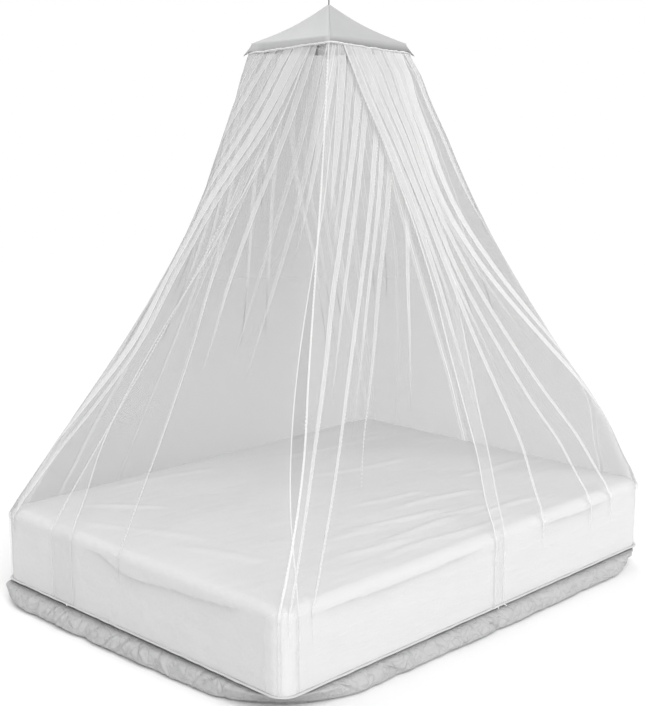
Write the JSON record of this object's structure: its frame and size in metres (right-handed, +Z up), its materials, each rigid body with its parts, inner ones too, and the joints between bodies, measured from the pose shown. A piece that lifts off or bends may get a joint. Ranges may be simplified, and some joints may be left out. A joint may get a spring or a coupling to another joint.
{
  "type": "mosquito net canopy and mattress",
  "caption": "Square-topped mosquito net canopy with a grey cap, sheer panels that fan out over a mattress in a fitted sheet, and a grey tuck-in skirt down to the floor.",
  "frame": {"origin": "on the floor under the middle of the mattress, at the bottom centre of the bounding box", "axes": "+Z up; +X across the mattress to its right side; -Y towards its foot"},
  "size_m": [1.5884, 2.1199, 2.2297],
  "materials": {
    "hook_wire": "dark wire, satin",
    "cap_cloth": "grey fine-woven cloth, matte",
    "frame_wire": "wire, satin",
    "white_binding": "white folded tape, matte",
    "sheer_net": "sheer white net, matte",
    "skirt_cloth": "grey cloth, matte",
    "tie_cord": "white cord, matte",
    "fitted_sheet": "white cotton sheet, matte",
    "base_board": "plain dark board"
  },
  "bodies": {
    "root": {"hanging_hook": "hook_wire", "cap_gore_foot": "cap_cloth", "cap_gore_side": "cap_cloth", "cap_gore_head": "cap_cloth", "cap_gore_left": "cap_cloth", "spreader_frame": "frame_wire", "rim_binding": "white_binding", "net_panel_foot": "sheer_net", "net_panel_side": "sheer_net", "net_panel_head": "sheer_net", "net_panel_left": "sheer_net", "seam_binding": "white_binding", "skirt": "skirt_cloth", "side_tie_loop": "tie_cord", "side_tie_end": "tie_cord", "foot_tie_end": "tie_cord", "mattress": "fitted_sheet", "mattress_base": "base_board"}
  },
  "joints": []
}
